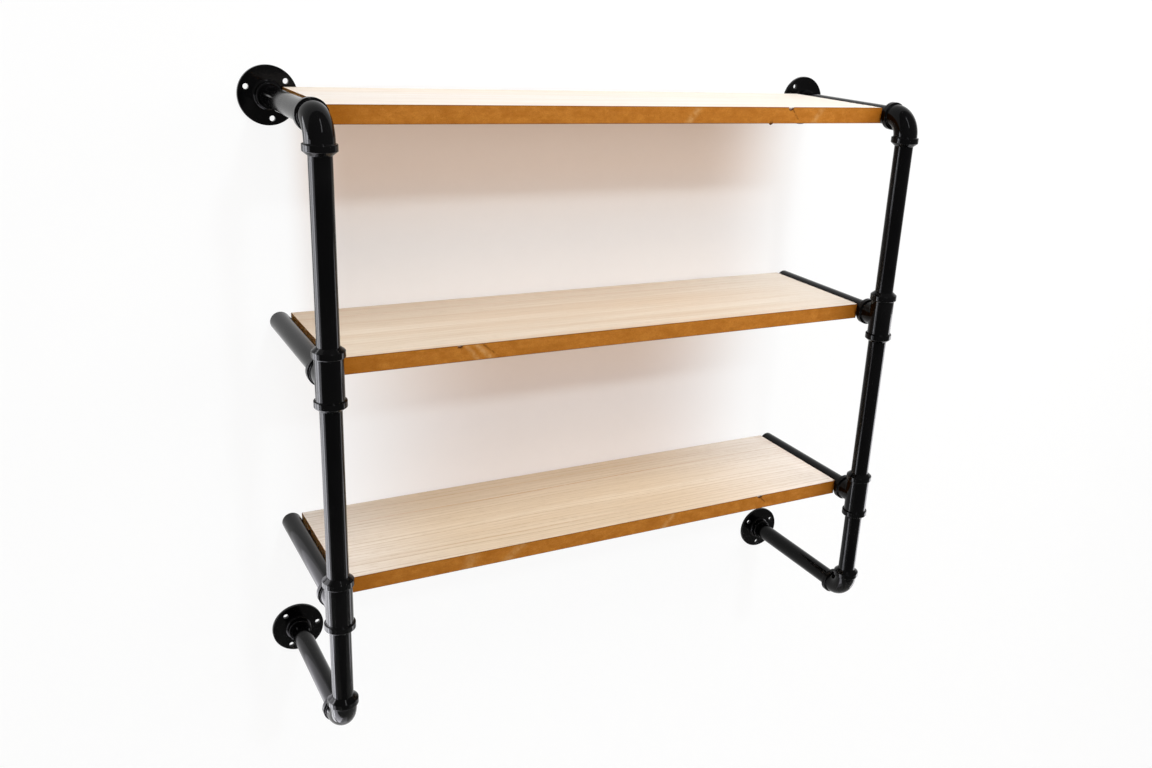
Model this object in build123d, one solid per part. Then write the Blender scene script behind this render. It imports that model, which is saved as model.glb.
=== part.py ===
from build123d import *
import os

# Wall shelf: three boards pinned between two side frames of threaded pipe.
# Millimetres. The wall is the plane y = 0 and the shelf stands out from it towards -Y, with +X to the right
# and +Z up. The origin is on the wall, at the centre of the four wall flanges.

# Frames
frame_spacing = 840.0  # between the pipe axes of the two frames
frame_depth = 251.0  # wall to the axis of the uprights
mid_drop = 295.0  # top pipe axis down to the middle pipe axis
low_drop = 299.0  # middle pipe axis down to the low pipe axis
foot_drop = 174.0  # low pipe axis down to the foot pipe axis
wall_gap = 1.0  # what does not carry load on the wall stays this far off it

# Pipe
pipe_d = 26.9
pipe_wall = 2.65
thread_depth = 0.8  # taken off the pipe's radius at a threaded end
thread_length = 15.0
thread_play = 0.1  # radial, between a thread and its socket

# Elbows and tees
body_wall = 3.7  # casting's radius over the pipe's
inner_bend = 7.8  # radius on the inside of an elbow's bend
band_step = 2.5  # band's radius over the body's
band_length = 9.3
nose_step = 0.4  # end of the tapered nose, over the pipe's radius
nose_length = 4.75
socket_relief = 1.0  # a socket is this much deeper than its thread
throat_round = 3.5  # where a tee's branch leaves its run

# Wall flanges
flange_d = 74.0
flange_thickness = 5.0
rim_round = 1.2
hub_wall = 3.05  # hub's radius over the pipe's
hub_height = 16.0  # wall to the front of the hub
hub_root_round = 3.0
hub_lip_round = 1.6
hole_count = 3
hole_d = 7.0
hole_inset = 8.5  # rim to the centre of a screw hole
left_top_turn = 8.0  # each flange stops on its thread at an angle of its own, in degrees
right_top_turn = -20.0
left_foot_turn = -23.0
right_foot_turn = -3.0

# Boards
board_thickness = 22.0
board_nose_gap = 0.45  # beside the tapered noses, at a board's front corners
board_hub_gap = 0.45  # beside the hubs of the flanges
board_pipe_gap = 1.0  # beside the pipes, where a board has no flange
board_edge_round = 0.5

# Pins
pin_d = 8.0
pin_depth = 25.0  # into the board
pin_inset = 45.0  # from the board's front and back faces
pin_play = 0.1  # radial, in the pipe and in the board
pin_end_gap = 0.5  # left at the bottom of the hole in the board
pin_chamfer = 0.6

# What follows from those sizes
pipe_r = pipe_d / 2
bore_r = pipe_r - pipe_wall
thread_r = pipe_r - thread_depth
socket_r = thread_r + thread_play
socket_depth = thread_length + socket_relief
body_r = pipe_r + body_wall
band_r = body_r + band_step
nose_r = pipe_r + nose_step
hub_r = pipe_r + hub_wall
bend_r = body_r + inner_bend
mouth_length = band_length + nose_length
mouth_round = 0.45 * band_step
neck_length = 0.55 * band_step  # straight stretch of body that the round under the band runs onto
fitting_reach = bend_r + mouth_length
hole_circle_r = flange_d / 2 - hole_inset

pipe_x = frame_spacing / 2
upright_y = -frame_depth
mouth_y = upright_y + fitting_reach
top_z = (mid_drop + low_drop + foot_drop) / 2
mid_z = top_z - mid_drop
low_z = mid_z - low_drop
foot_z = low_z - foot_drop

top_board_end_r = hub_r + board_hub_gap  # pipe axis to the end of a board
board_end_r = pipe_r + board_pipe_gap
nose_lap = nose_length * (top_board_end_r - board_nose_gap - nose_r) / (band_r - nose_r)  # boards over noses
board_front_y = mouth_y - nose_lap
board_back_y = -wall_gap
top_board_back_y = -flange_thickness - hub_root_round - wall_gap  # clear of the rounds at the hubs

stand_up = (Align.CENTER, Align.CENTER, Align.MIN)


def rod(radius, length):
    return Cylinder(radius, length, align=stand_up)


def turned(outline):
    # solid turned about the Z axis from an outline of (radius, height) corners
    corners = [(radius, 0, height) for radius, height in outline]
    return revolve(make_face(Polyline(*corners, close=True)), Axis.Z)


def rings(solid, radius, height):
    # round edges of a turned solid at one corner of its outline
    corner = Vector(0, 0, height)
    round_edges = solid.edges().filter_by(GeomType.CIRCLE)
    return [edge for edge in round_edges
            if abs(edge.radius - radius) < 1e-4 and (edge.arc_center - corner).length < 1e-4]


# Pipes

def pipe(start, end, start_thread=0.0, end_thread=0.0):
    # straight pipe between two shoulders, with a thread of the given length beyond each
    run = end - start
    outside = rod(pipe_r, run.length)
    if start_thread:
        outside += Pos(0, 0, -start_thread) * rod(thread_r, start_thread)
    if end_thread:
        outside += Pos(0, 0, run.length) * rod(thread_r, end_thread)
    bore = Pos(0, 0, -start_thread) * rod(bore_r, start_thread + run.length + end_thread)
    return Plane(origin=start, z_dir=run) * (outside - bore)


# Fittings, each about its own centre

def mouth():
    # band and tapered nose, from the end of the body along +Z
    outline = [(0, 0), (body_r, 0), (body_r, neck_length), (band_r, neck_length), (band_r, band_length),
               (nose_r, mouth_length), (0, mouth_length)]
    solid = turned(outline)
    for radius, height in outline[2:5]:
        solid = fillet(rings(solid, radius, height), mouth_round)
    return solid


def socket():
    # threaded hole, from a mouth back into the body
    return Pos(0, 0, fitting_reach - socket_depth) * rod(socket_r, socket_depth)


def to_wall(solid):
    # turns a solid from +Z to +Y
    return Rot(-90, 0, 0) * solid


def downward(solid):
    return Rot(180, 0, 0) * solid


def bend(radius):
    # quarter ring from the wall side round to the underside
    start = Plane(origin=(0, bend_r, 0), z_dir=(0, -1, 0))
    return revolve(start * Circle(radius), Axis((0, bend_r, -bend_r), (1, 0, 0)), 90)


def elbow():
    # mouths towards the wall and downward
    open_end = Pos(0, 0, bend_r) * mouth()
    outside = bend(body_r) + to_wall(open_end) + downward(open_end)
    return outside - bend(bore_r) - to_wall(socket()) - downward(socket())


def tee():
    # mouths up, down and towards the wall
    half = rod(body_r, bend_r) + Pos(0, 0, bend_r) * mouth()
    passage = rod(bore_r, fitting_reach) + socket()
    outside = half + downward(half) + to_wall(half)
    outside = fillet(outside.edges().filter_by(GeomType.ELLIPSE), throat_round)
    return outside - passage - downward(passage) - to_wall(passage)


def flange(turn):
    # round plate on the wall, with its hub towards -Y
    rim_r = flange_d / 2
    outline = [(0, 0), (rim_r, 0), (rim_r, flange_thickness), (hub_r, flange_thickness), (hub_r, hub_height),
               (0, hub_height)]
    solid = turned(outline)
    solid = fillet(rings(solid, hub_r, flange_thickness), hub_root_round)
    solid = fillet(rings(solid, hub_r, hub_height), hub_lip_round)
    solid = fillet(rings(solid, rim_r, flange_thickness), rim_round)
    solid -= rod(socket_r, hub_height)
    first_hole = 90 - 180 / hole_count + turn
    for hole in range(hole_count):
        place = Rot(0, 0, first_hole + 360 / hole_count * hole) * Pos(hole_circle_r, 0, 0)
        solid -= place * rod(hole_d / 2, flange_thickness)
    return Rot(90, 0, 0) * solid


# Boards and their pins

def pin_rows(back_y):
    # depths of the two pins in each end of a board
    return board_front_y + pin_inset, back_y - pin_inset


def along_x(solid, side, x, y, z):
    # lays a solid from +Z along X, away from the frame on the given side
    return Pos(x, y, z) * Rot(0, -90 * side, 0) * solid


def pin_holes(side, back_y, z):
    # cut by the pins through the inner wall of a pipe
    hole = rod(pin_d / 2 + pin_play, pipe_d)
    return [along_x(hole, side, side * pipe_x, y, z) for y in pin_rows(back_y)]


def pins(end_r, back_y, z):
    pin = rod(pin_d / 2, end_r + pin_depth)
    pin = chamfer(pin.edges().filter_by(GeomType.CIRCLE), pin_chamfer)
    return Compound(children=[along_x(pin, side, side * pipe_x, y, z)
                              for side in (-1, 1) for y in pin_rows(back_y)])


def board(end_r, back_y, z):
    half = pipe_x - end_r
    depth = back_y - board_front_y
    solid = Box(2 * half, depth, board_thickness)
    solid = fillet(solid.edges(), board_edge_round)
    solid = Pos(0, board_front_y + depth / 2, z) * solid
    hole = rod(pin_d / 2 + pin_play, pin_depth + pin_end_gap)
    for side in (-1, 1):
        for y in pin_rows(back_y):
            solid -= along_x(hole, side, side * half, y, z)
        if end_r < top_board_end_r:
            # front corner cut back, to pass the noses as the top board does
            corner = Box(2 * (top_board_end_r - end_r), 2 * (nose_lap + board_nose_gap), board_thickness)
            solid -= Pos(side * half, board_front_y, z) * corner
    return solid


# Side frames

def frame(side, top_turn, foot_turn):
    x = side * pipe_x
    hub_y = -hub_height
    hub_thread = hub_height - wall_gap

    def wall_pipe(z):
        return pipe(Vector(x, hub_y, z), Vector(x, mouth_y, z), hub_thread, thread_length)

    def bare_pipe(z):
        return pipe(Vector(x, -wall_gap, z), Vector(x, mouth_y, z), end_thread=thread_length)

    def upright(high_z, low_end_z):
        high = Vector(x, upright_y, high_z - fitting_reach)
        low = Vector(x, upright_y, low_end_z + fitting_reach)
        return pipe(high, low, thread_length, thread_length)

    corner = Pos(x, upright_y, 0)
    return {
        "top_flange": Pos(x, 0, top_z) * flange(top_turn),
        "top_pipe": wall_pipe(top_z) - pin_holes(side, top_board_back_y, top_z),
        "top_elbow": corner * Pos(0, 0, top_z) * elbow(),
        "upper_upright": upright(top_z, mid_z),
        "mid_tee": corner * Pos(0, 0, mid_z) * tee(),
        "mid_pipe": bare_pipe(mid_z) - pin_holes(side, board_back_y, mid_z),
        "lower_upright": upright(mid_z, low_z),
        "low_tee": corner * Pos(0, 0, low_z) * tee(),
        "low_pipe": bare_pipe(low_z) - pin_holes(side, board_back_y, low_z),
        "foot_upright": upright(low_z, foot_z),
        "foot_elbow": corner * Pos(0, 0, foot_z) * Rot(90, 0, 0) * elbow(),
        "foot_pipe": wall_pipe(foot_z),
        "foot_flange": Pos(x, 0, foot_z) * flange(foot_turn),
    }


# The whole shelf

left_frame = frame(-1, left_top_turn, left_foot_turn)
right_frame = frame(1, right_top_turn, right_foot_turn)
shelf = {"left_" + name: solid for name, solid in left_frame.items()}
shelf.update({"right_" + name: solid for name, solid in right_frame.items()})

levels = {
    "top": (top_board_end_r, top_board_back_y, top_z),
    "mid": (board_end_r, board_back_y, mid_z),
    "low": (board_end_r, board_back_y, low_z),
}
for level, place in levels.items():
    shelf[level + "_board"] = board(*place)
    shelf[level + "_board_pins"] = pins(*place)

os.makedirs("parts", exist_ok=True)
for name, solid in shelf.items():
    export_step(solid, "parts/" + name + ".step")
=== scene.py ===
import math

import bmesh
import bpy
from mathutils import Matrix, Vector, noise


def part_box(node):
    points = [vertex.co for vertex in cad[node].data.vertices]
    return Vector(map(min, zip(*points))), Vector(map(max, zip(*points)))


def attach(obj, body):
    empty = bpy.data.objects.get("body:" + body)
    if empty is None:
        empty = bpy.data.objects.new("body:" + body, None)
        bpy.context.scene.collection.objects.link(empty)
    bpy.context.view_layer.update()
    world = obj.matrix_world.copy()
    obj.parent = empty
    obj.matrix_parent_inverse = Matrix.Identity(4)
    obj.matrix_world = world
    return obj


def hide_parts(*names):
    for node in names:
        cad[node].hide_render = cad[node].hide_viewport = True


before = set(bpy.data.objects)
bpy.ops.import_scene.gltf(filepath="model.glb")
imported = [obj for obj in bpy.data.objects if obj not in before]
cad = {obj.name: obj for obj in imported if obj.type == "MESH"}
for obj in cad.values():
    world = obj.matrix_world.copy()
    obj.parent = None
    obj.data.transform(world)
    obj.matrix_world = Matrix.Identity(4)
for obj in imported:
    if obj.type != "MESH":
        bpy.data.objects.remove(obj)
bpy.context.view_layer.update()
scene = bpy.context.scene
scene.view_settings.view_transform = "Standard"
print("frame loaded:", len(cad), "nodes")


# node helpers

def wire(tree, node, inputs):  # sets each input to its value, or links it to another node's output
    for name, value in inputs.items():
        if isinstance(value, bpy.types.NodeSocket):
            tree.links.new(value, node.inputs[name])
        else:
            node.inputs[name].default_value = value


def put(tree, kind, inputs=None, **settings):  # adds a node, sets it up and wires its inputs
    node = tree.nodes.new("ShaderNode" + kind)
    for name, value in settings.items():
        setattr(node, name, value)
    wire(tree, node, inputs or {})
    return node


def calc(tree, operation, first, second=0.0, third=0.0):
    return put(tree, "Math", {0: first, 1: second, 2: third}, operation=operation).outputs[0]


def fade(tree, value, low, high, start=0.0, end=1.0, smooth=True):  # value from low..high to start..end
    kind = "SMOOTHSTEP" if smooth else "LINEAR"
    inputs = {"Value": value, "From Min": low, "From Max": high, "To Min": start, "To Max": end}
    return put(tree, "MapRange", inputs, interpolation_type=kind).outputs[0]


def tint(tree, factor, under, over, mode="MIX"):
    inputs = {0: factor, 6: under, 7: over}
    return put(tree, "Mix", inputs, data_type="RGBA", blend_type=mode).outputs[2]


def stretch(tree, vector, scale, shift=(0, 0, 0)):
    return put(tree, "Mapping", {"Vector": vector, "Scale": scale, "Location": shift}).outputs[0]


def cloud(tree, vector, scale=1.0, detail=2.0, rough=0.5):
    inputs = {"Vector": vector, "Scale": scale, "Detail": detail, "Roughness": rough}
    return put(tree, "TexNoise", inputs).outputs["Fac"]


def streaks(tree, vector, scale, detail=2.0, rough=0.5):  # noise with a scale of its own along X, Y and Z
    return cloud(tree, stretch(tree, vector, scale), 1.0, detail, rough)


def bump(tree, height, look):
    inputs = {"Height": height, "Strength": look["bumpStrength"], "Distance": look["bumpDepth"]}
    return put(tree, "Bump", inputs).outputs[0]


def apart(tree, vector):  # the vector's X, Y and Z
    return put(tree, "SeparateXYZ", {0: vector}).outputs


def colour(red, green, blue):
    return (red, green, blue, 1.0)


def newGroup(name, inputs, outputs):  # sockets by name, each with its kind
    tree = bpy.data.node_groups.new(name, "ShaderNodeTree")
    for direction, sockets in (("INPUT", inputs), ("OUTPUT", outputs)):
        for socket, kind in sockets.items():
            tree.interface.new_socket(name=socket, in_out=direction, socket_type="NodeSocket" + kind)
    return tree, tree.nodes.new("NodeGroupInput").outputs, tree.nodes.new("NodeGroupOutput").inputs


def place(tree, group, inputs):  # puts a node group into a material
    node = tree.nodes.new("ShaderNodeGroup")
    node.node_tree = group
    wire(tree, node, inputs)
    return node.outputs


def newMaterial(name):
    material = bpy.data.materials.new(name)
    material.use_nodes = True
    tree = material.node_tree
    tree.nodes.clear()
    return material, tree, tree.nodes.new("ShaderNodeOutputMaterial").inputs["Surface"]


def objectPoint(tree):
    return tree.nodes.new("ShaderNodeTexCoord").outputs["Object"]


def attribute(tree, name):
    return put(tree, "Attribute", attribute_name=name).outputs["Fac"]


def seenRays(tree):  # camera, mirror and glass rays, which see the room paler than it lights
    path = tree.nodes.new("ShaderNodeLightPath").outputs
    seen = calc(tree, "MAXIMUM", path["Is Camera Ray"], path["Is Glossy Ray"])
    return calc(tree, "MAXIMUM", seen, path["Is Transmission Ray"])


# shared effects

# In the dictionaries a Scale is a noise's scale, and a Fade is where a value starts and ends to count, with
# what it gives there where that isn't 0 and 1

paintFilm = dict(toneScale=14.0, toneFade=(0.35, 0.7), smearScale=38.0, smearLie=(1.0, 1.0, 0.45),
                 smearFade=(0.42, 0.75))
arrisWear = dict(turnFade=(0.995, 0.86), patchFade=(0.5, 0.68), samples=4)  # turn as a cosine
woodThread = dict(poreStretch=(9.0, 3.2, 3.2), poreSoftness=0.09)
scratchForm = dict(  # metres
    ragScale=180.0, ragWidth=0.006, wearScale=170.0, wearFade=(0.22, 0.66), taper=0.003, boardReach=0.03)


def makePaintSkin(film):  # sprayed gloss paint: orange peel over the metal's own lumps, thin and thick places
    group, given, made = newGroup(
        "paint skin",
        {"Vector": "Vector", "Peel Scale": "Float", "Lump Scale": "Float", "Lump Share": "Float"},
        {"Tone": "Float", "Haze": "Float", "Height": "Float"})
    point = given["Vector"]
    peel = cloud(group, point, given["Peel Scale"], detail=1.0, rough=0.4)
    lump = cloud(group, point, given["Lump Scale"], detail=3.0)
    smear = cloud(group, stretch(group, point, film["smearLie"]), film["smearScale"], detail=4.0, rough=0.6)
    tone = cloud(group, point, film["toneScale"], detail=3.0, rough=0.55)
    group.links.new(fade(group, tone, *film["toneFade"]), made["Tone"])
    group.links.new(fade(group, smear, *film["smearFade"]), made["Haze"])
    group.links.new(calc(group, "MULTIPLY_ADD", lump, given["Lump Share"], peel), made["Height"])
    return group


def makeEdgeRub(wear):  # broken line of wear along arrises
    group, given, made = newGroup(
        "edge rub",
        {"Vector": "Vector", "Radius": "Float", "Patch Scale": "Float"},
        {"Mask": "Float"})
    rounded = put(group, "Bevel", {"Radius": given["Radius"]}, samples=wear["samples"]).outputs[0]
    real = group.nodes.new("ShaderNodeNewGeometry").outputs["Normal"]
    turn = put(group, "VectorMath", {0: rounded, 1: real}, operation="DOT_PRODUCT").outputs["Value"]
    edge = fade(group, turn, *wear["turnFade"])
    patch = cloud(group, given["Vector"], given["Patch Scale"], detail=4.0, rough=0.65)
    patch = fade(group, patch, *wear["patchFade"])
    group.links.new(calc(group, "MULTIPLY", edge, patch), made["Mask"])
    return group


def makeFibre(thread):  # fine wood fibre and pores along X
    group, given, made = newGroup(
        "wood fibre",
        {"Vector": "Vector", "Along": "Float", "Across": "Float", "Pore": "Float"},
        {"Fibre": "Float", "Pores": "Float"})
    across = given["Across"]
    run = put(group, "CombineXYZ", {"X": given["Along"], "Y": across, "Z": across}).outputs[0]
    laid = put(group, "VectorMath", {0: given["Vector"], 1: run}, operation="MULTIPLY").outputs[0]
    group.links.new(cloud(group, laid, detail=4.0, rough=0.6), made["Fibre"])
    dashes = put(group, "VectorMath", {0: laid, 1: thread["poreStretch"]}, operation="MULTIPLY").outputs[0]
    full = calc(group, "ADD", given["Pore"], thread["poreSoftness"])
    pores = fade(group, cloud(group, dashes, detail=1.0, rough=0.4), given["Pore"], full)
    group.links.new(pores, made["Pores"])
    return group


def makeScuff(form):  # one slanting scratch on a board's front, placed by the X where it crosses mid height
    group, given, made = newGroup(
        "scuff",
        {"Vector": "Vector", "Height": "Float", "X": "Float", "Slant": "Float", "Width": "Float",
         "Level": "Float", "Lowest": "Float"},
        {"Mask": "Float"})
    axes = apart(group, given["Vector"])
    lean = calc(group, "MULTIPLY", given["Height"], given["Slant"])
    off = calc(group, "SUBTRACT", calc(group, "SUBTRACT", axes["X"], given["X"]), lean)
    rag = cloud(group, given["Vector"], form["ragScale"], detail=4.0, rough=0.6)
    ragged = calc(group, "MULTIPLY_ADD", rag, form["ragWidth"], -form["ragWidth"] / 2)
    away = calc(group, "ABSOLUTE", calc(group, "ADD", off, ragged))
    line = fade(group, calc(group, "DIVIDE", away, given["Width"]), 1.0, 0.0)
    wear = cloud(group, given["Vector"], form["wearScale"], detail=3.0, rough=0.55)
    line = calc(group, "MULTIPLY", line, fade(group, wear, *form["wearFade"]))
    stop = calc(group, "ADD", given["Lowest"], form["taper"])
    line = calc(group, "MULTIPLY", line, fade(group, given["Height"], given["Lowest"], stop))
    levelGap = calc(group, "ABSOLUTE", calc(group, "SUBTRACT", axes["Z"], given["Level"]))
    onBoard = calc(group, "LESS_THAN", levelGap, form["boardReach"])
    group.links.new(calc(group, "MULTIPLY", line, onBoard), made["Mask"])
    return group


paintSkin = makePaintSkin(paintFilm)
edgeRub = makeEdgeRub(arrisWear)
fibre = makeFibre(woodThread)
scuff = makeScuff(scratchForm)
print("shared effects:", len(bpy.data.node_groups))


# paint and steel

blackGloss = dict(
    deep=colour(0.0006, 0.0006, 0.0008), rubPatch=90.0, rubShare=0.45, rubRough=0.25, rubFull=0.5,
    rubCoat=0.02, bumpStrength=0.55)
pipePaint = dict(
    blackGloss, thin=colour(0.0020, 0.0019, 0.0021), bare=colour(0.040, 0.037, 0.035), peel=900.0, lump=60.0,
    lumpShare=0.7, smooth=0.11, dull=0.19, shine=0.085, coat=0.04, coatRough=0.06, rubRadius=0.0009,
    bumpDepth=0.00002)
castPaint = dict(
    blackGloss, thin=colour(0.0024, 0.0023, 0.0025), bare=colour(0.050, 0.045, 0.042), peel=600.0, lump=110.0,
    lumpShare=1.8, smooth=0.08, dull=0.16, shine=0.095, coat=0.05, coatRough=0.05, rubRadius=0.0012,
    bumpDepth=0.00005)
pinSteel = dict(
    dark=colour(0.028, 0.028, 0.030), light=colour(0.060, 0.059, 0.061), drawnScale=(14.0, 900.0, 900.0),
    roughFade=(0.3, 0.7, 0.30, 0.50), bumpStrength=0.2, bumpDepth=0.0001)


def blackPaint(name, look):
    material, tree, surface = newMaterial(name)
    point = objectPoint(tree)
    skin = place(tree, paintSkin, {"Vector": point, "Peel Scale": look["peel"], "Lump Scale": look["lump"],
                                   "Lump Share": look["lumpShare"]})
    worn = place(tree, edgeRub, {"Vector": point, "Radius": look["rubRadius"],
                                 "Patch Scale": look["rubPatch"]})["Mask"]
    rub = calc(tree, "MULTIPLY", worn, look["rubShare"])
    paint = tint(tree, skin["Tone"], look["deep"], look["thin"])
    rough = fade(tree, skin["Haze"], 0.0, 1.0, look["smooth"], look["dull"], smooth=False)
    principled = put(tree, "BsdfPrincipled", {
        "Base Color": tint(tree, rub, paint, look["bare"]),
        "Roughness": calc(tree, "MULTIPLY_ADD", rub, look["rubRough"], rough),
        "Normal": bump(tree, skin["Height"], look),
        "Specular IOR Level": look["shine"],
        "Coat Weight": fade(tree, rub, 0.0, look["rubFull"], look["coat"], look["rubCoat"]),
        "Coat Roughness": look["coatRough"]})
    tree.links.new(principled.outputs[0], surface)
    return material


def drawnSteel(name, look):
    material, tree, surface = newMaterial(name)
    drawn = streaks(tree, objectPoint(tree), look["drawnScale"], detail=3.0, rough=0.6)
    principled = put(tree, "BsdfPrincipled", {
        "Base Color": tint(tree, drawn, look["dark"], look["light"]),
        "Metallic": 1.0,
        "Roughness": fade(tree, drawn, *look["roughFade"]),
        "Normal": bump(tree, drawn, look)})
    tree.links.new(principled.outputs[0], surface)
    return material


pipeBlack = blackPaint("black pipe paint", pipePaint)
castBlack = blackPaint("black casting paint", castPaint)
pinMetal = drawnSteel("drawn pin steel", pinSteel)
finishes = {  # by the last word of a node's name
    "pipe": pipeBlack, "upright": pipeBlack, "flange": castBlack, "elbow": castBlack, "tee": castBlack,
    "pins": pinMetal}
metalNodes = [name for name in cad if not name.endswith("_board")]
for name in metalNodes:
    for slot in cad[name].material_slots:
        slot.material = finishes[name.split("_")[-1]]
print("paint on", len(metalNodes), "nodes")


# wood

veneer = dict(
    line=colour(0.44, 0.295, 0.17), pore=colour(0.44, 0.31, 0.195), seam=colour(0.50, 0.245, 0.115),
    bruised=colour(0.060, 0.016, 0.005), driftScale=(1.3, 3.5, 23.0), wobbleScale=(9.0, 30.0, 50.0),
    wobbleShare=0.3, lineHalf=0.0009, lineUneven=0.75, boldScale=(2.6, 70.0, 30.0),
    boldFade=(0.33, 0.66, 0.15, 1.0), dashScale=(110.0, 900.0, 30.0), dashFade=(0.36, 0.56, 0.35, 1.0),
    fibreAlong=5.5, fibreAcross=420.0, poreFrom=0.63, fibreFade=(0.36, 0.72, 0.0, 0.26),
    bandScale=(1.1, 34.0, 17.0), bandFade=(0.38, 0.68), rearShadeFade=(-0.13, 0.02), rightFade=(0.08, 0.46),
    leftFade=(-0.2, -0.44), seamBend=2.4, seamShift=90, seamCore=0.2, roughFade=(0.3, 0.75, 0.42, 0.62),
    shine=0.12, lineDepth=-0.6, fibreDepth=0.8, poreDepth=-0.7, bumpStrength=0.35, bumpDepth=0.00012)
sheets = {  # each board's sheet: colours, among them painted shade at the back and paler ends that are partly painted light, how far the left end pales, gap and drift of grain lines, shares of marks
    "top_board": dict(
        pale=colour(0.74, 0.705, 0.685), band=colour(0.70, 0.605, 0.51), rearShade=colour(0.74, 0.66, 0.575),
        paleLitEnd=colour(0.70, 0.655, 0.61), left=0.0, gap=0.0150, drift=0.05, lines=0.40, bands=0.40, pores=0.25,
        seams=[]),
    "mid_board": dict(
        pale=colour(0.72, 0.62, 0.515), band=colour(0.635, 0.49, 0.365), rearShade=colour(0.66, 0.53, 0.415),
        paleLitEnd=colour(0.73, 0.665, 0.60), left=0.0, gap=0.0125, drift=0.07, lines=0.45, bands=0.80, pores=0.35,
        seams=[dict(y=-0.012, half=0.0050, sway=0.016, share=0.20),
               dict(y=-0.040, half=0.0040, sway=0.020, share=0.26),
               dict(y=-0.075, half=0.0030, sway=0.020, share=0.16)]),
    "low_board": dict(
        pale=colour(0.72, 0.60, 0.465), band=colour(0.63, 0.475, 0.325), rearShade=colour(0.62, 0.465, 0.33),
        paleLitEnd=colour(0.82, 0.755, 0.71), left=0.8, gap=0.0098, drift=0.04, lines=1.0, bands=0.50, pores=0.45,
        seams=[dict(y=-0.0275, half=0.0012, sway=0.010, share=0.55),
               dict(y=-0.0595, half=0.0013, sway=0.014, share=0.95),
               dict(y=-0.1780, half=0.0011, sway=0.012, share=0.40)])}
stain = dict(
    light=colour(0.47, 0.182, 0.030), dark=colour(0.33, 0.112, 0.014), fleck=colour(0.15, 0.048, 0.008),
    scuffed=colour(0.66, 0.42, 0.18), endShade=colour(0.25, 0.075, 0.004), arris=colour(0.165, 0.060, 0.013),
    bruised=colour(0.045, 0.013, 0.004), mottleScale=(75.0, 110.0, 130.0), mottleFade=(0.28, 0.74),
    endShadeFade=(0.335, 0.412, 0.0, 0.85), speckScale=620.0, speckFade=(0.38, 0.66), speckShare=0.42,
    fibreAlong=60.0, fibreAcross=700.0, poreFrom=0.60, poreShare=0.45, scuffLowest=-0.02,
    arrisFade=(0.0096, 0.0105), arrisShare=0.82, poreDepth=-0.6, roughFade=(0.3, 0.7, 0.50, 0.70), shine=0.02,
    bumpStrength=0.4, bumpDepth=0.00015)
# end grain colours painted brighter than the wood's own, as painted light on the shaded ends
sawn = dict(
    light=colour(0.95, 0.47, 0.115), dark=colour(0.56, 0.20, 0.040), paleFleck=colour(0.95, 0.80, 0.52),
    tearScale=(300.0, 190.0, 420.0), tearFade=(0.38, 0.62), splinterScale=(60.0, 120.0, 260.0),
    splinterFade=(0.44, 0.60), splinterShare=0.55, paleSpotScale=(60.0, 330.0, 520.0), paleSpotFade=(0.55, 0.66),
    roughFade=(0.3, 0.7, 0.7, 0.9), shine=0.03, bumpStrength=0.7, bumpDepth=0.0006)
scuffs = {  # on the fronts: X at mid height, slant in X over Z, width, colour, share and lowest point
    "top_board": [
        dict(x=0.080, slant=0.85, width=0.0090, tone="scuffed", share=0.32),
        dict(x=0.286, slant=0.75, width=0.0080, tone="scuffed", share=0.26),
        dict(x=0.2475, slant=-0.75, width=0.0028, tone="fleck", share=1.0, lowest=-0.007)],
    "mid_board": [
        dict(x=-0.213, slant=-1.0, width=0.0080, tone="scuffed", share=0.34),
        dict(x=-0.229, slant=-0.8, width=0.0060, tone="scuffed", share=0.26),
        dict(x=-0.203, slant=-1.1, width=0.0032, tone="fleck", share=0.90)],
    "low_board": [
        dict(x=0.086, slant=0.8, width=0.0085, tone="scuffed", share=0.34),
        dict(x=-0.165, slant=1.3, width=0.0150, tone="scuffed", share=0.24),
        dict(x=-0.230, slant=0.4, width=0.0160, tone="scuffed", share=0.22),
        dict(x=0.2625, slant=-1.1, width=0.0032, tone="fleck", share=1.0, lowest=-0.006)]}


def woodGrain(tree, vector, look):
    return place(tree, fibre, {"Vector": vector, "Along": look["fibreAlong"], "Across": look["fibreAcross"],
                               "Pore": look["poreFrom"]})


def seamMask(tree, point, look, seams):  # single dark lines that run the length of a sheet
    depth = apart(tree, point)["Y"]
    mask = 0.0
    for seam in seams:
        shift = (0.0, seam["y"] * look["seamShift"], 0.0)
        bend = cloud(tree, stretch(tree, point, (look["seamBend"], 0.0, 0.0), shift), detail=3.0, rough=0.45)
        off = calc(tree, "MULTIPLY_ADD", bend, seam["sway"], depth)
        away = calc(tree, "ABSOLUTE", calc(tree, "SUBTRACT", off, seam["y"] + 0.5 * seam["sway"]))
        trace = fade(tree, away, seam["half"], seam["half"] * look["seamCore"], 0.0, seam["share"])
        mask = calc(tree, "MAXIMUM", mask, trace)
    return mask


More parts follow.
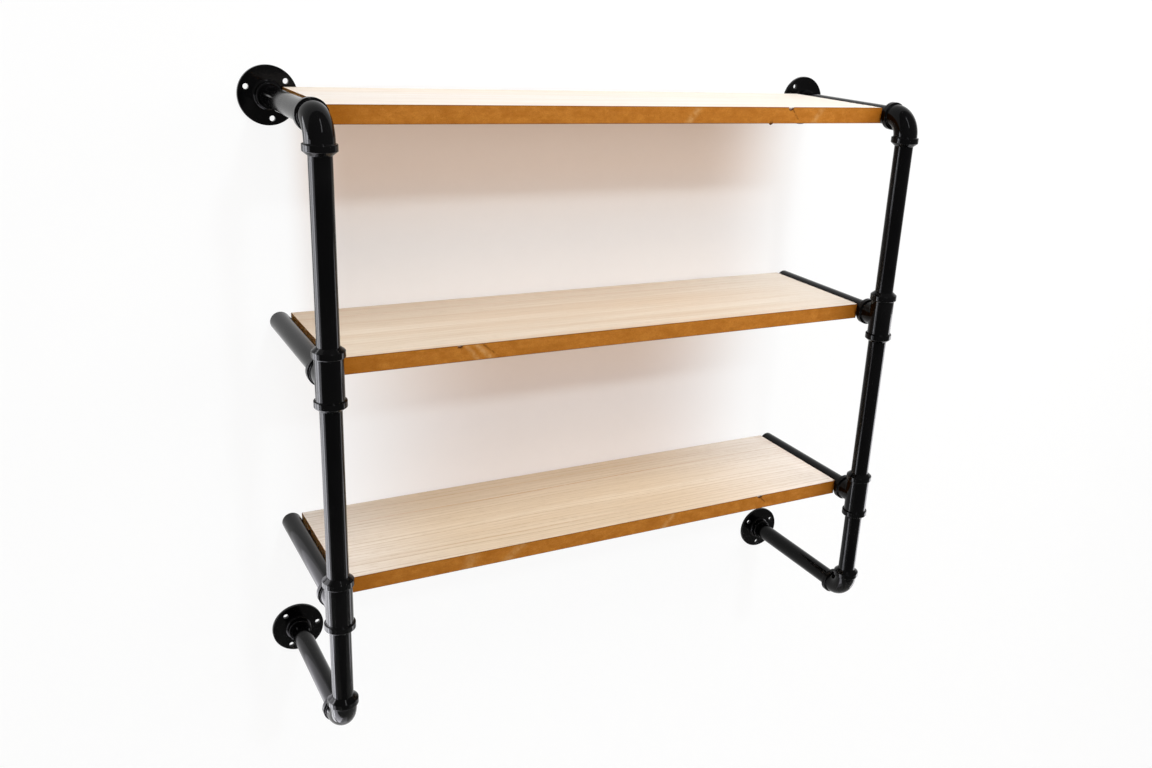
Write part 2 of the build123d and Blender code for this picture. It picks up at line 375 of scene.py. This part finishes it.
def veneerFace(name, look, sheet):
    material, tree, surface = newMaterial(name)
    point = objectPoint(tree)
    axes = apart(tree, point)

    # grain lines, as the edges of uneven strips across Y
    drift = streaks(tree, point, look["driftScale"])
    wobble = streaks(tree, point, look["wobbleScale"])
    across = calc(tree, "MULTIPLY_ADD", drift, sheet["drift"], axes["Y"])
    across = calc(tree, "MULTIPLY_ADD", wobble, sheet["gap"] * look["wobbleShare"], across)
    strips = {"W": across, "Scale": 1 / sheet["gap"], "Randomness": look["lineUneven"]}
    rings = put(tree, "TexVoronoi", strips, voronoi_dimensions="1D", feature="DISTANCE_TO_EDGE")
    line = fade(tree, rings.outputs["Distance"], look["lineHalf"] / sheet["gap"], 0.0)
    warped = put(tree, "CombineXYZ", {"X": axes["X"], "Y": across, "Z": axes["Z"]}).outputs[0]
    bold = fade(tree, streaks(tree, warped, look["boldScale"], rough=0.55), *look["boldFade"])
    dash = fade(tree, streaks(tree, warped, look["dashScale"]), *look["dashFade"])
    marked = calc(tree, "MULTIPLY", calc(tree, "MULTIPLY", line, bold), dash)
    marked = calc(tree, "MULTIPLY", marked, sheet["lines"])

    # ground colour, darker and warmer towards the back as painted shade, and paler at the ends: partly the
    # sheet's own colour, partly painted light
    grain = woodGrain(tree, warped, look)
    band = fade(tree, streaks(tree, warped, look["bandScale"], detail=3.0), *look["bandFade"])
    ground = tint(tree, fade(tree, axes["Y"], *look["rearShadeFade"]), sheet["pale"], sheet["rearShade"])
    ground = tint(tree, calc(tree, "MULTIPLY", band, sheet["bands"]), ground, sheet["band"])
    right = fade(tree, axes["X"], *look["rightFade"])
    left = fade(tree, axes["X"], *look["leftFade"], 0.0, sheet["left"])
    ends = calc(tree, "MAXIMUM", right, left)
    ground = tint(tree, ends, ground, sheet["paleLitEnd"])
    ground = tint(tree, fade(tree, grain["Fibre"], *look["fibreFade"]), ground, look["line"])

    wood = tint(tree, marked, ground, look["line"])
    broken = calc(tree, "MULTIPLY", dash, calc(tree, "SUBTRACT", 1.0, ends))
    seam = calc(tree, "MULTIPLY", seamMask(tree, point, look, sheet["seams"]), broken)
    wood = tint(tree, seam, wood, look["seam"])
    wood = tint(tree, calc(tree, "MULTIPLY", grain["Pores"], sheet["pores"]), wood, look["pore"])
    bruise = attribute(tree, "bruise")
    wood = tint(tree, bruise, wood, look["bruised"])
    rough = fade(tree, grain["Fibre"], *look["roughFade"])
    raised = calc(tree, "MULTIPLY", grain["Fibre"], look["fibreDepth"])
    height = calc(tree, "MULTIPLY_ADD", marked, look["lineDepth"], raised)
    height = calc(tree, "MULTIPLY_ADD", grain["Pores"], look["poreDepth"], height)
    principled = put(tree, "BsdfPrincipled", {
        "Base Color": wood,
        "Roughness": calc(tree, "MAXIMUM", rough, bruise),
        "Specular IOR Level": look["shine"],
        "Normal": bump(tree, height, look)})
    tree.links.new(principled.outputs[0], surface)
    return material


def stainedEdge(name, look, marks):
    material, tree, surface = newMaterial(name)
    point = objectPoint(tree)
    height = attribute(tree, "height")
    grain = woodGrain(tree, point, look)
    fromMiddle = calc(tree, "ABSOLUTE", apart(tree, point)["X"])
    mottle = fade(tree, streaks(tree, point, look["mottleScale"], detail=5.0, rough=0.7), *look["mottleFade"])
    speck = fade(tree, cloud(tree, point, look["speckScale"], detail=3.0, rough=0.65), *look["speckFade"])
    base = tint(tree, mottle, look["dark"], look["light"])
    # painted shade: each front darkens towards both ends, where the fittings shade it
    base = tint(tree, fade(tree, fromMiddle, *look["endShadeFade"]), base, look["endShade"])
    base = tint(tree, calc(tree, "MULTIPLY", speck, look["speckShare"]), base, look["dark"])
    base = tint(tree, calc(tree, "MULTIPLY", grain["Pores"], look["poreShare"]), base, look["fleck"])
    for board, scratches in marks.items():
        low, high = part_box(board)
        middle = (low + high) / 2
        for mark in scratches:
            scratch = place(tree, scuff, {
                "Vector": point, "Height": height, "X": mark["x"], "Slant": mark["slant"],
                "Width": mark["width"], "Level": middle.z,
                "Lowest": mark.get("lowest", look["scuffLowest"])})["Mask"]
            base = tint(tree, calc(tree, "MULTIPLY", scratch, mark["share"]), base, look[mark["tone"]])
    arris = fade(tree, calc(tree, "ABSOLUTE", height), *look["arrisFade"])
    base = tint(tree, calc(tree, "MULTIPLY", arris, look["arrisShare"]), base, look["arris"])
    base = tint(tree, attribute(tree, "bruise"), base, look["bruised"])
    raised = calc(tree, "ADD", grain["Fibre"], speck)
    relief = calc(tree, "MULTIPLY_ADD", grain["Pores"], look["poreDepth"], raised)
    principled = put(tree, "BsdfPrincipled", {
        "Base Color": base,
        "Roughness": fade(tree, grain["Fibre"], *look["roughFade"]),
        "Specular IOR Level": look["shine"],
        "Normal": bump(tree, relief, look)})
    tree.links.new(principled.outputs[0], surface)
    return material


def sawnEnd(name, look):
    material, tree, surface = newMaterial(name)
    point = objectPoint(tree)
    tear = streaks(tree, point, look["tearScale"], detail=4.0, rough=0.65)
    splinter = streaks(tree, point, look["splinterScale"], detail=3.0, rough=0.6)
    splinter = calc(tree, "MULTIPLY", fade(tree, splinter, *look["splinterFade"]), look["splinterShare"])
    paleSpot = fade(tree, streaks(tree, point, look["paleSpotScale"]), *look["paleSpotFade"])
    # painted light: these colours are brighter than the end grain's own, to stand in for light on the shaded
    # ends
    base = tint(tree, fade(tree, tear, *look["tearFade"]), look["dark"], look["light"])
    base = tint(tree, splinter, base, look["dark"])
    base = tint(tree, paleSpot, base, look["paleFleck"])
    principled = put(tree, "BsdfPrincipled", {
        "Base Color": base,
        "Roughness": fade(tree, tear, *look["roughFade"]),
        "Specular IOR Level": look["shine"],
        "Normal": bump(tree, tear, look)})
    tree.links.new(principled.outputs[0], surface)
    return material


woodFaces = {name: veneerFace("pale veneer " + name, veneer, sheet) for name, sheet in sheets.items()}
woodEdge = stainedEdge("stained board edge", stain, scuffs)
woodEnd = sawnEnd("sawn board end", sawn)
print("wood finishes made")

boardCut = dict(  # metres, apart from counts, scales, the angle of a square edge and straight, a cosine
    arris=0.0006, arrisRows=3, squareAngle=1, rimBand=0.0048, faceBand=0.0022, nickReach=0.0008,
    straight=0.995, endStep=0.0026, endRows=7, tear=0.0007, gritScale=(310, 520, 10), match=1e-5, snap=1e-6)
noseCut = (0.0025, 0.0026)  # in X and Y, where a front corner passes a fitting's nose
boards = {  # front corners, and nicks in the front: X, width, whether in the top arris, push in Y and Z
    "top_board": dict(corner=None, nicks=[
        dict(x=0.239, width=0.0100, top=True, push=(0.0022, -0.0042)),
        dict(x=0.206, width=0.0070, top=False, push=(0.0004, -0.0022))]),  # a burr that hangs down
    "mid_board": dict(corner=noseCut, nicks=[
        dict(x=-0.245, width=0.0085, top=True, push=(0.0018, -0.0027))]),
    "low_board": dict(corner=noseCut, nicks=[
        dict(x=0.2535, width=0.0110, top=True, push=(0.0024, -0.0040))])}
nickSteps = [  # across a nick, in shares of its width and of its push
    (-0.5, 0.0), (-0.22, 0.8), (0.05, 1.0), (0.3, 0.45), (0.5, 0.0)]
facePart, edgePart, endPart = range(3)  # material slots of a board


def cutAcross(mesh, parts, spot, way, cut):
    bmesh.ops.bisect_plane(mesh, geom=parts, plane_co=spot, plane_no=way, dist=cut["snap"])


def wholeMesh(mesh):
    return mesh.verts[:] + mesh.edges[:] + mesh.faces[:]


def makeBlank(low, high, corner):  # plain board, with its front corners cut back where it passes a fitting
    outline = [(low.x, low.y), (high.x, low.y)]
    if corner:
        inX, inY = corner
        outline = [(low.x, low.y + inY), (low.x + inX, low.y + inY), (low.x + inX, low.y),
                   (high.x - inX, low.y), (high.x - inX, low.y + inY), (high.x, low.y + inY)]
    outline += [(high.x, high.y), (low.x, high.y)]
    mesh = bmesh.new()
    base = mesh.faces.new([mesh.verts.new((x, y, low.z)) for x, y in outline])
    raised = bmesh.ops.extrude_face_region(mesh, geom=[base], use_keep_orig=True)["geom"]
    lifted = [item for item in raised if isinstance(item, bmesh.types.BMVert)]
    bmesh.ops.translate(mesh, vec=(0, 0, high.z - low.z), verts=lifted)
    bmesh.ops.recalc_face_normals(mesh, faces=mesh.faces)
    return mesh


def dent(mesh, low, high, nick, cut):  # pushes the arris in, or out for a burr, and marks it as bruised
    bruise = mesh.verts.layers.float["bruise"]
    arrisZ = high.z if nick["top"] else low.z
    for share, push in nickSteps:
        spot = nick["x"] + share * nick["width"]
        for vert in mesh.verts:
            near = abs(vert.co.z - arrisZ) < cut["nickReach"] and vert.co.y - low.y < cut["nickReach"]
            if near and abs(vert.co.x - spot) < cut["match"] and push:
                vert.co += Vector((0, *nick["push"])) * push
                vert[bruise] = 1.0


def endFaces(mesh, side):
    return [face for face in mesh.faces if face.material_index == endPart and face.normal.x * side > 0]


def withRims(faces):  # faces with their edges and corners, each once and always in the same order
    edges = dict.fromkeys(edge for face in faces for edge in face.edges)
    verts = dict.fromkeys(vert for face in faces for vert in face.verts)
    return [*verts, *edges, *faces]


def tearEnds(mesh, low, high, cut):  # rough saw marks pressed into the two ends
    depth, thick = high.y - low.y, high.z - low.z
    columns = int(depth / cut["endStep"])
    alongY, alongZ, alongX = cut["gritScale"]
    for side in (-1, 1):
        for step in range(1, columns):
            y = low.y + depth * step / columns
            cutAcross(mesh, withRims(endFaces(mesh, side)), (0, y, 0), (0, 1, 0), cut)
        for step in range(1, cut["endRows"]):
            z = low.z + thick * step / cut["endRows"]
            cutAcross(mesh, withRims(endFaces(mesh, side)), (0, 0, z), (0, 0, 1), cut)
        torn = endFaces(mesh, side)
        inside = {vert for face in torn for vert in face.verts
                  if all(other in torn for other in vert.link_faces)}
        for vert in inside:
            grit = noise.noise(Vector((vert.co.y * alongY, vert.co.z * alongZ, vert.co.x * alongX)))
            vert.co.x -= side * cut["tear"] * (0.5 + 0.5 * grit)  # grit is from -1 to 1


def makeBoard(name, cut, form):
    low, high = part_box(name)
    middle = (low + high) / 2
    mesh = makeBlank(low, high, form["corner"])
    for nick in form["nicks"]:
        for share, _ in nickSteps:
            cutAcross(mesh, wholeMesh(mesh), (nick["x"] + share * nick["width"], 0, 0), (1, 0, 0), cut)
    square = [edge for edge in mesh.edges if edge.calc_face_angle(0) > cut["squareAngle"]]
    bmesh.ops.bevel(mesh, geom=square, offset=cut["arris"], segments=cut["arrisRows"], profile=0.5,
                    affect="EDGES", material=-1)
    for z in (low.z + cut["rimBand"], high.z - cut["rimBand"]):  # keep a nick's mark near its arris
        cutAcross(mesh, wholeMesh(mesh), (0, 0, z), (0, 0, 1), cut)
    cutAcross(mesh, wholeMesh(mesh), (0, low.y + cut["faceBand"], 0), (0, 1, 0), cut)

    mesh.verts.layers.float.new("bruise")
    for nick in form["nicks"]:
        dent(mesh, low, high, nick, cut)
    for face in mesh.faces:
        level, endwise = abs(face.normal.z) > cut["straight"], abs(face.normal.x) > cut["straight"]
        face.material_index = facePart if level else endPart if endwise else edgePart
    tearEnds(mesh, low, high, cut)
    height = mesh.verts.layers.float.new("height")
    for vert in mesh.verts:
        vert[height] = vert.co.z - middle.z
    bmesh.ops.recalc_face_normals(mesh, faces=mesh.faces)

    data = bpy.data.meshes.new(name + "_wood")
    mesh.to_mesh(data)
    mesh.free()
    for finish in (woodFaces[name], woodEdge, woodEnd):
        data.materials.append(finish)
    board = bpy.data.objects.new(name + "_wood", data)
    scene.collection.objects.link(board)
    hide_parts(name)
    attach(board, "root")
    return board


for name, form in boards.items():
    made = makeBoard(name, boardCut, form)
    print(made.name, len(made.data.polygons), "faces")


# stage

floorLevel = -1.5
wallLook = dict(white=colour(0.89, 0.87, 0.855), glow=0.50, halo=0.92, back=0.0006, left=-3.2, right=4.2,
                foot=floorLevel, head=2.6)
floorLook = dict(white=colour(0.86, 0.855, 0.845), glow=0.1, halo=0.1, level=floorLevel, front=-1.7, back=3.4,
                 left=-2.6, right=3.2)
mattPaint = dict(gritScale=35.0, gritFade=(0.3, 0.7, 0.985, 1.0), rough=0.9, shine=0.1, bumpStrength=0.05,
                 bumpDepth=0.0005)
bays = [  # wall in the shelf's own shade, and the light thrown on it by the boards above and below
    dict(leftFade=(-0.41, -0.32), rightFade=(0.46, 0.22), topFade=(0.40, 0.36), bottomFade=(0.06, 0.09),
         under=colour(0.80, 0.58, 0.45), over=colour(0.74, 0.645, 0.605), changeFade=(0.30, 0.17)),
    dict(leftFade=(-0.45, -0.06), rightFade=(0.43, 0.10), topFade=(0.09, 0.06), bottomFade=(-0.30, -0.20),
         under=colour(0.86, 0.66, 0.55), over=colour(0.74, 0.60, 0.545), changeFade=(0.0, -0.10))]


def flatStage(name, corners, finish):
    mesh = bmesh.new()
    mesh.faces.new([mesh.verts.new(corner) for corner in corners])
    data = bpy.data.meshes.new(name)
    mesh.to_mesh(data)
    mesh.free()
    data.materials.append(finish)
    plane = bpy.data.objects.new(name, data)
    scene.collection.objects.link(plane)


def paleStage(name, look, paint):  # matt white, seen brighter than it lights, and clear from behind
    material, tree, surface = newMaterial(name)
    point = objectPoint(tree)
    axes = apart(tree, point)
    grit = cloud(tree, point, paint["gritScale"], detail=4.0, rough=0.6)
    tone = fade(tree, grit, *paint["gritFade"])
    lit = put(tree, "BsdfPrincipled", {
        "Base Color": tint(tree, 1.0, look["white"], tone, "MULTIPLY"),
        "Roughness": paint["rough"],
        "Specular IOR Level": paint["shine"],
        "Normal": bump(tree, grit, paint)})
    shade, hue = 0.0, colour(1, 1, 1)
    for bay in bays:
        wide = calc(tree, "MULTIPLY", fade(tree, axes["X"], *bay["leftFade"]),
                    fade(tree, axes["X"], *bay["rightFade"]))
        high = calc(tree, "MULTIPLY", fade(tree, axes["Z"], *bay["topFade"]),
                    fade(tree, axes["Z"], *bay["bottomFade"]))
        inside = calc(tree, "MULTIPLY", wide, high)
        thrown = tint(tree, fade(tree, axes["Z"], *bay["changeFade"]), bay["under"], bay["over"])
        hue = tint(tree, inside, hue, thrown)
        shade = calc(tree, "MAXIMUM", shade, inside)
    bright = put(tree, "Emission", {"Color": hue, "Strength": 1.0})
    shown = fade(tree, shade, 1.0, 0.0, look["glow"], look["halo"], smooth=False)
    share = calc(tree, "MULTIPLY", seenRays(tree), shown)
    front = put(tree, "MixShader", {0: share, 1: lit.outputs[0], 2: bright.outputs[0]})
    clear = tree.nodes.new("ShaderNodeBsdfTransparent")
    behind = tree.nodes.new("ShaderNodeNewGeometry").outputs["Backfacing"]
    whole = put(tree, "MixShader", {0: behind, 1: front.outputs[0], 2: clear.outputs[0]})
    tree.links.new(whole.outputs[0], surface)
    return material


def wallCorners(left, right, back, foot, head, **finish):
    return [(left, back, foot), (right, back, foot), (right, back, head), (left, back, head)]


def floorCorners(left, right, front, back, level, **finish):
    return [(left, front, level), (right, front, level), (right, back, level), (left, back, level)]


flatStage("studio_wall", wallCorners(**wallLook), paleStage("white wall", wallLook, mattPaint))
flatStage("studio_floor", floorCorners(**floorLook), paleStage("pale floor", floorLook, mattPaint))
print("stage made")


# camera and light

view = dict(spot=(-0.72598, -1.47347, 0.52388), yaw=0.5367, pitch=0.3507, roll=-0.0602, lens=34.447,
            sensor=36.0, shiftX=-0.0554, shiftY=0.0161)
lamps = {  # place, aim, size, watts and colour; some don't show in the paint, the others don't light the wood
    "front key": dict(at=(0.70, -5.20, 3.36), to=(0.0, 0.0, 0.1), size=(0.44, 0.44), power=150.0,
                      tone=(0.80, 0.93, 1.0), mirrored=False),
    "front fill": dict(at=(0.30, -3.60, 0.85), to=(0.0, 0.0, 0.0), size=(2.2, 1.0), power=18.0,
                       tone=(1.0, 0.97, 0.94), mirrored=False),
    "right fill": dict(at=(1.25, -1.15, 0.85), to=(0.2, -0.1, 0.0), size=(0.9, 0.9), power=14.0,
                       tone=(1.0, 0.97, 0.94), mirrored=False),
    "overhead": dict(at=(0.20, -2.00, 3.00), to=(0.0, -0.1, 0.0), size=(2.4, 1.5), power=80.0,
                     tone=(1.0, 0.96, 0.91), mirrored=False),
    "front strip": dict(at=(0.10, -2.30, 2.60), to=(0.0, -0.1, 0.0), size=(0.30, 2.2), power=16.0,
                        tone=(0.95, 0.96, 1.0), lighting=False),
    "left panel": dict(at=(-1.35, -0.03, -0.40), to=(-1.35, -1.0, -0.40), size=(0.80, 1.7), power=98.0,
                       tone=(0.93, 0.93, 1.0), lighting=False),
    "near panel": dict(at=(-0.78, -0.03, -0.30), to=(-0.78, -1.0, -0.30), size=(0.34, 1.5), power=13.0,
                       tone=(0.95, 0.95, 1.0), lighting=False),
    "left bank": dict(at=(-1.85, -0.30, -0.4), to=(-0.4, -0.25, -0.3), size=(0.40, 1.5), power=12.0,
                      tone=(0.93, 0.93, 1.0), lighting=False),
    "wide card": dict(at=(-0.5375, -0.004, -0.27), to=(-0.5375, -1.0, -0.27), size=(0.165, 0.50), power=0.20,
                      tone=(0.94, 0.92, 1.0), lighting=False),
    "outer card": dict(at=(-0.5550, -0.005, -0.30), to=(-0.5550, -1.0, -0.30), size=(0.130, 0.44), power=0.30,
                       tone=(0.93, 0.91, 1.0), lighting=False),
    "low bank": dict(at=(-1.20, -0.32, -1.30), to=(-1.20, -0.32, 0.0), size=(1.20, 0.54), power=16.0,
                     tone=(0.92, 0.91, 1.0), lighting=False),
    "soft low bank": dict(at=(-0.95, -0.25, -1.31), to=(-0.95, -0.25, 0.0), size=(1.50, 0.85), power=6.0,
                          tone=(0.92, 0.91, 1.0), lighting=False),
    "right panel": dict(at=(1.40, -0.24, -0.83), to=(0.0, -0.24, -0.83), size=(0.42, 1.35), power=10.0,
                        tone=(0.96, 0.95, 1.0), lighting=False)}
room = dict(  # a dim room with a pale ceiling, seen as a plain grey backdrop
    tone=colour(1.0, 0.90, 0.80), ceilingFade=(-0.05, 0.5, 0.03, 0.12), backdrop=colour(1.0, 0.985, 0.97),
    shown=0.32)


def addCamera(name, look):
    eye = bpy.data.cameras.new(name)
    eye.lens, eye.sensor_width = look["lens"], look["sensor"]
    eye.shift_x, eye.shift_y = look["shiftX"], look["shiftY"]
    camera = bpy.data.objects.new(name, eye)
    turn = Matrix.Rotation(-look["yaw"], 4, "Z") @ Matrix.Rotation(math.pi / 2 - look["pitch"], 4, "X")
    camera.matrix_world = Matrix.Translation(look["spot"]) @ turn @ Matrix.Rotation(-look["roll"], 4, "Z")
    scene.collection.objects.link(camera)
    scene.camera = camera


def addLamp(name, look):
    lamp = bpy.data.lights.new(name, "AREA")
    lamp.shape = "RECTANGLE"
    lamp.size, lamp.size_y = look["size"]
    lamp.energy, lamp.color = look["power"], look["tone"]
    holder = bpy.data.objects.new(name, lamp)
    aim = Vector(look["to"]) - Vector(look["at"])
    holder.matrix_world = Matrix.Translation(look["at"]) @ aim.to_track_quat("-Z", "Y").to_matrix().to_4x4()
    holder.visible_camera = False
    holder.visible_glossy = look.get("mirrored", True)
    holder.visible_diffuse = look.get("lighting", True)
    scene.collection.objects.link(holder)


def addRoom(name, look):
    world = bpy.data.worlds.new(name)
    world.use_nodes = True
    sky = world.node_tree
    way = apart(sky, sky.nodes.new("ShaderNodeTexCoord").outputs["Generated"])["Z"]
    seen = seenRays(sky)
    dim = fade(sky, way, *look["ceilingFade"])
    background = sky.nodes["Background"].inputs
    sky.links.new(tint(sky, seen, look["tone"], look["backdrop"]), background["Color"])
    sky.links.new(fade(sky, seen, 0.0, 1.0, dim, look["shown"], smooth=False), background["Strength"])
    scene.world = world


addCamera("photo view", view)
for name, look in lamps.items():
    addLamp(name, look)
addRoom("studio room", room)
print("camera and", len(lamps), "lamps set")
